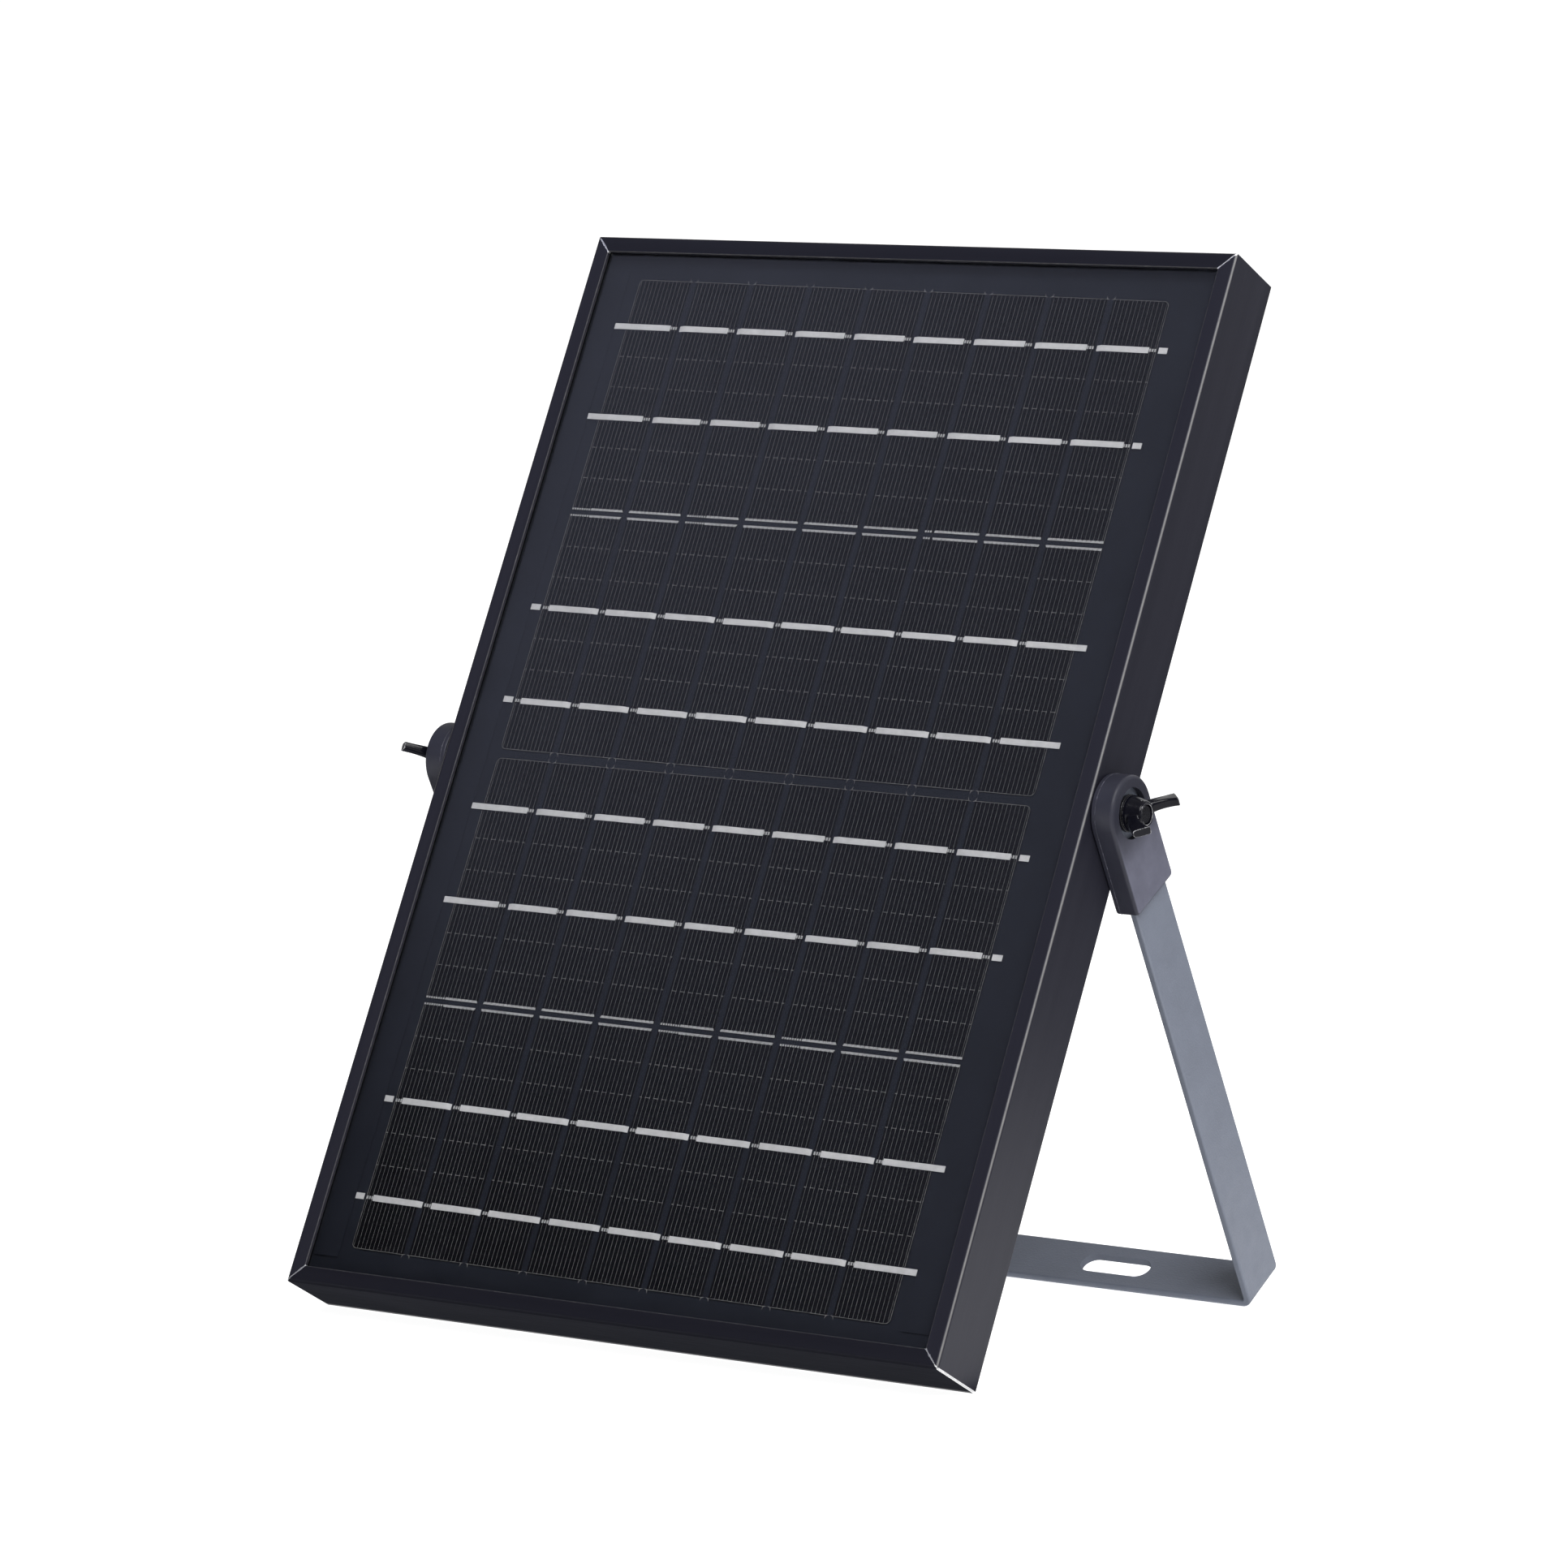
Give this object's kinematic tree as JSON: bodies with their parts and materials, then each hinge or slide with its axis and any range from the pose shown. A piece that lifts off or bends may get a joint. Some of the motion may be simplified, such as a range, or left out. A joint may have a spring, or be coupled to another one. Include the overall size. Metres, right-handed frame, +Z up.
{
  "type": "solar panel",
  "caption": "Small framed solar panel that leans on a folding U stand, tilting on side pivots clamped by wing nuts.",
  "frame": {"origin": "on the ground, under the middle of the whole object's box", "axes": "+Z up, -Y towards the front the cells face, +X to the right seen from the front"},
  "size_m": [0.2908, 0.201, 0.3419],
  "materials": {
    "frame": "black anodised, satin",
    "corner_key": "mill finish",
    "seal": "black silicone",
    "glass": "low iron tempered, clear",
    "encapsulant": "clear",
    "cells": "dark blue anti-reflection coating, printed fingers",
    "ribbon": "tinned copper, satin",
    "film": "black film and black encapsulant sheet",
    "backsheet": "black, fine grain",
    "box_plastic": "black, moulded",
    "box_rubber": "black rubber",
    "terminal": "bright",
    "diode": "black epoxy",
    "zinc_steel": "zinc plated",
    "black_steel": "black zinc",
    "stand": "grey-blue powder coat, fine texture",
    "end_cap": "dark grey, moulded, satin",
    "wing_nut": "gloss black"
  },
  "bodies": {
    "stand": {"stand_bracket": "stand", "end_cap_left": "end_cap", "end_cap_right": "end_cap"},
    "panel": {"frame_top": "frame", "frame_bottom": "frame", "frame_left": "frame", "frame_right": "frame", "corner_key_top_right": "corner_key", "corner_key_top_left": "corner_key", "corner_key_bottom_left": "corner_key", "corner_key_bottom_right": "corner_key", "edge_seal": "seal", "front_glass": "glass", "front_encapsulant": "encapsulant", "cell_string_1": "cells", "cell_string_2": "cells", "cell_string_3": "cells", "cell_string_4": "cells", "bus_ribbon_upper_right": "ribbon", "bus_ribbon_middle_left": "ribbon", "bus_ribbon_lower_right": "ribbon", "lead_ribbon_positive": "ribbon", "lead_ribbon_negative": "ribbon", "masking_film_left": "film", "masking_film_right": "film", "rear_encapsulant": "film", "backsheet": "backsheet", "junction_box_pad": "seal", "junction_box_base": "box_plastic", "junction_box_gasket": "box_rubber", "junction_box_lid": "box_plastic", "lid_screw_top_left": "zinc_steel", "lid_screw_top_right": "zinc_steel", "lid_screw_bottom_left": "zinc_steel", "lid_screw_bottom_right": "zinc_steel", "terminal_positive": "terminal", "terminal_negative": "terminal", "terminal_screw_positive": "zinc_steel", "terminal_screw_negative": "zinc_steel", "bypass_diode": "diode", "gland_bush": "box_rubber", "gland_nut": "box_plastic", "pivot_bolt_left": "black_steel", "pivot_bolt_right": "black_steel", "lock_washer_left": "zinc_steel", "lock_washer_right": "zinc_steel"},
    "right_washer": {"wing_washer_right": "black_steel"},
    "left_washer": {"wing_washer_left": "black_steel"},
    "right_wing_nut": {"wing_nut_right": "wing_nut"},
    "left_wing_nut": {"wing_nut_left": "wing_nut"}
  },
  "joints": [
    {"name": "panel_tilt", "type": "hinge", "parent": "stand", "child": "panel", "pos_m": [0, 0, 0.17118], "axis": [1, 0, 0], "range_deg": [-116, 49]},
    {"name": "right_nut_travel", "type": "slide", "parent": "panel", "child": "right_washer", "axis": [1, 0, 0], "range_m": [0, 0.002]},
    {"name": "right_nut_turn", "type": "hinge", "parent": "right_washer", "child": "right_wing_nut", "pos_m": [0.134, 0, 0.17118], "axis": [1, 0, 0], "range_deg": [0, 720]},
    {"name": "left_nut_travel", "type": "slide", "parent": "panel", "child": "left_washer", "axis": [-1, 0, 0], "range_m": [0, 0.002]},
    {"name": "left_nut_turn", "type": "hinge", "parent": "left_washer", "child": "left_wing_nut", "pos_m": [-0.134, 0, 0.17118], "axis": [-1, 0, 0], "range_deg": [0, 720]}
  ],
  "couplings": [
    {"joint": "right_nut_travel", "follows": "right_nut_turn", "m_per_rad": 0.00015915},
    {"joint": "left_nut_travel", "follows": "left_nut_turn", "m_per_rad": 0.00015915}
  ]
}
